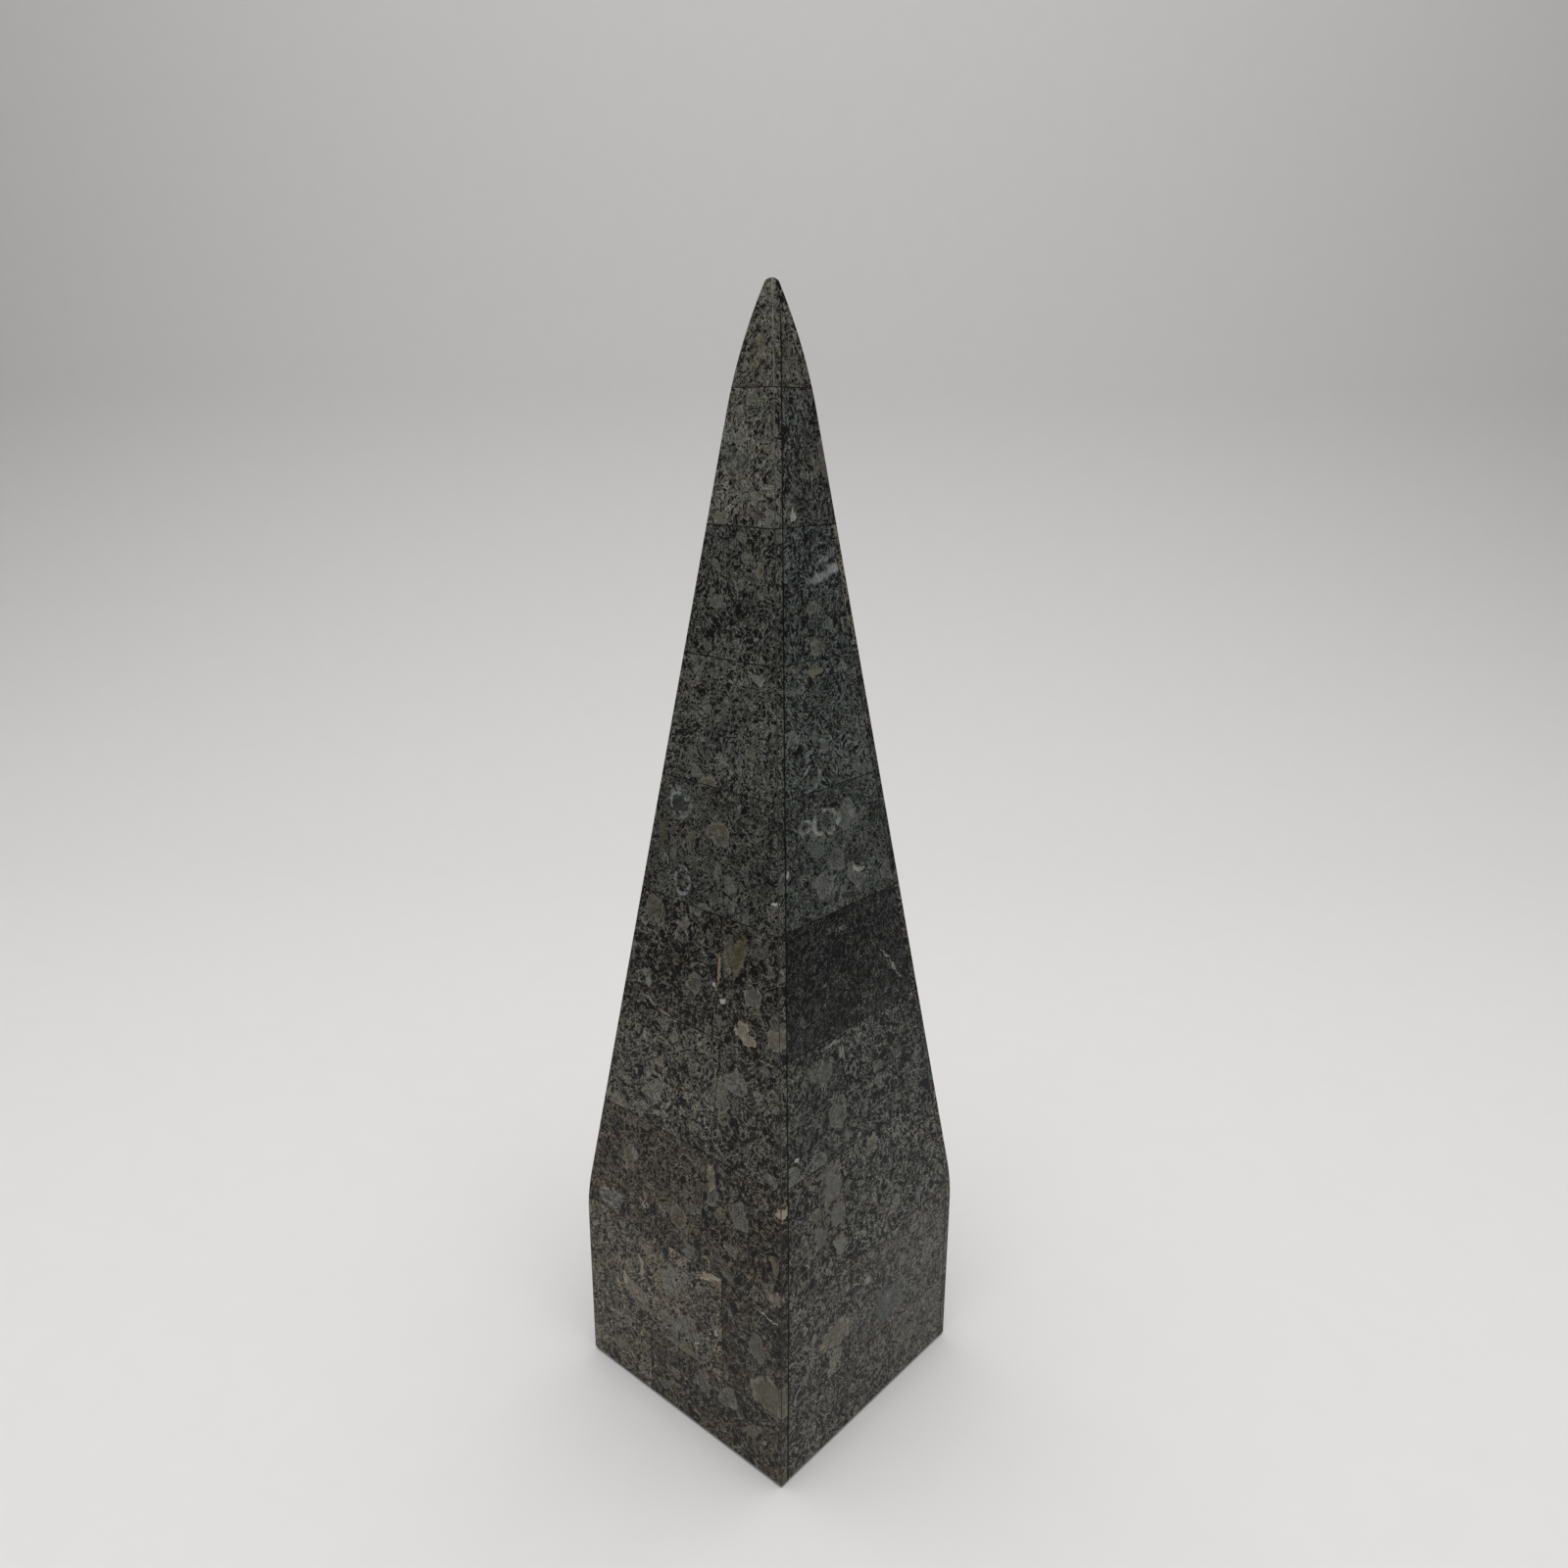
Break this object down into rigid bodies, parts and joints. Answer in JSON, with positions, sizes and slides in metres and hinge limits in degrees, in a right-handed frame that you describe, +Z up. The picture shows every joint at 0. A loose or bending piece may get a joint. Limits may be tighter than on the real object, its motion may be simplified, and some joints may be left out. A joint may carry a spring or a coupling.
{
  "type": "tabletop stone-clad obelisk",
  "caption": "Square tabletop obelisk ornament with a blended shoulder and curved-in point, clad in courses of dark fossil stone slabs on a wooden core, with felt under the base.",
  "frame": {"origin": "centre of the felt's underside, where the obelisk stands", "axes": "+Z up along the obelisk's axis to the tip, the front face towards -Y, the right face towards +X"},
  "size_m": [0.1016, 0.1016, 0.406],
  "materials": {
    "fossil_stone": "satin",
    "core_wood": "matte",
    "base_felt": "matte"
  },
  "bodies": {
    "root": {"core": "core_wood", "felt_pad": "base_felt", "front_slab_1": "fossil_stone", "front_slab_2": "fossil_stone", "front_slab_3": "fossil_stone", "front_slab_4": "fossil_stone", "front_slab_5": "fossil_stone", "front_slab_6": "fossil_stone", "front_slab_7": "fossil_stone", "front_slab_8": "fossil_stone", "front_slab_9": "fossil_stone", "front_slab_10": "fossil_stone", "right_slab_1": "fossil_stone", "right_slab_2": "fossil_stone", "right_slab_3": "fossil_stone", "right_slab_4": "fossil_stone", "right_slab_5": "fossil_stone", "right_slab_6": "fossil_stone", "right_slab_7": "fossil_stone", "right_slab_8": "fossil_stone", "right_slab_9": "fossil_stone", "right_slab_10": "fossil_stone", "back_slab_1": "fossil_stone", "back_slab_2": "fossil_stone", "back_slab_3": "fossil_stone", "back_slab_4": "fossil_stone", "back_slab_5": "fossil_stone", "back_slab_6": "fossil_stone", "back_slab_7": "fossil_stone", "back_slab_8": "fossil_stone", "back_slab_9": "fossil_stone", "back_slab_10": "fossil_stone", "left_slab_1": "fossil_stone", "left_slab_2": "fossil_stone", "left_slab_3": "fossil_stone", "left_slab_4": "fossil_stone", "left_slab_5": "fossil_stone", "left_slab_6": "fossil_stone", "left_slab_7": "fossil_stone", "left_slab_8": "fossil_stone", "left_slab_9": "fossil_stone", "left_slab_10": "fossil_stone"}
  },
  "joints": []
}
